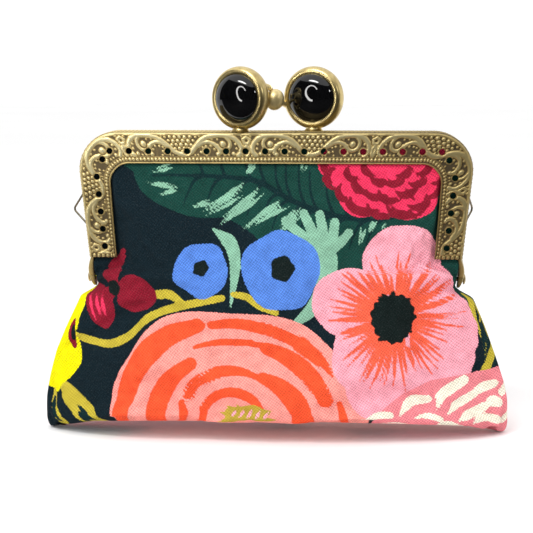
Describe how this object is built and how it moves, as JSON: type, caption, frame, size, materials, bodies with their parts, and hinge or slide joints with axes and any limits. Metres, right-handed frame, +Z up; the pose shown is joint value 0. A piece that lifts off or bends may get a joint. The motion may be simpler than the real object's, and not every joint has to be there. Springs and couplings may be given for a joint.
{
  "type": "coin purse",
  "caption": "Kiss-lock coin purse: printed cotton pouch with a boxed base, embossed antique brass frame in two hinged halves, ball clasp with black domed stones, wire strap rings",
  "frame": {"origin": "middle of the pouch's flat base, on the surface it stands on", "axes": "+X along the frame to the viewer's right, -Y the front, +Z up"},
  "size_m": [0.1264, 0.0336, 0.099],
  "materials": {
    "antique_brass": "embossed antique brass plate, dark patina in the recesses, worn bright on the high points",
    "polished_brass": "smooth polished antique brass",
    "black_resin": "high gloss black resin",
    "floral_cotton": "matte cotton canvas with a large floral print on dark teal",
    "fleece": "soft off-white fusible fleece",
    "lining_cotton": "plain matte cotton",
    "paper_cord": "twisted kraft paper cord"
  },
  "bodies": {
    "bag": {"front_outer_panel": "floral_cotton", "front_interlining_panel": "fleece", "front_lining_panel": "lining_cotton", "rear_outer_panel": "floral_cotton", "rear_interlining_panel": "fleece", "rear_lining_panel": "lining_cotton"},
    "front_frame": {"front_frame_half": "antique_brass", "front_paper_cord": "paper_cord", "left_knob_bezel": "polished_brass", "left_front_cabochon": "black_resin", "left_rear_cabochon": "black_resin", "left_catch_bead": "polished_brass"},
    "rear_frame": {"rear_frame_half": "antique_brass", "rear_paper_cord": "paper_cord", "left_hinge_rivet": "antique_brass", "right_hinge_rivet": "antique_brass", "right_knob_bezel": "polished_brass", "right_front_cabochon": "black_resin", "right_rear_cabochon": "black_resin", "right_catch_bead": "polished_brass", "left_ring_lug": "antique_brass", "right_ring_lug": "antique_brass"},
    "left_ring": {"left_strap_ring": "antique_brass"},
    "right_ring": {"right_strap_ring": "antique_brass"}
  },
  "joints": [
    {"name": "front_frame_hinge", "type": "hinge", "parent": "bag", "child": "front_frame", "pos_m": [0, 0, 0.042], "axis": [1, 0, 0], "range_deg": [0, 45], "deforming": ["front_outer_panel", "front_interlining_panel", "front_lining_panel", "left_catch_bead"]},
    {"name": "rear_frame_hinge", "type": "hinge", "parent": "bag", "child": "rear_frame", "pos_m": [0, 0, 0.042], "axis": [1, 0, 0], "range_deg": [-45, 0], "deforming": ["rear_outer_panel", "rear_interlining_panel", "rear_lining_panel", "right_catch_bead"]},
    {"name": "left_ring_swing", "type": "hinge", "parent": "rear_frame", "child": "left_ring", "pos_m": [-0.04985, 0.00695, 0.06], "axis": [-0.1028, 0, 0.9947], "range_deg": [-131, 64]},
    {"name": "right_ring_swing", "type": "hinge", "parent": "rear_frame", "child": "right_ring", "pos_m": [0.04985, 0.00695, 0.06], "axis": [0.1028, 0, 0.9947], "range_deg": [-91, 104]}
  ],
  "couplings": [
    {"joint": "rear_frame_hinge", "follows": "front_frame_hinge", "ratio": -1}
  ]
}
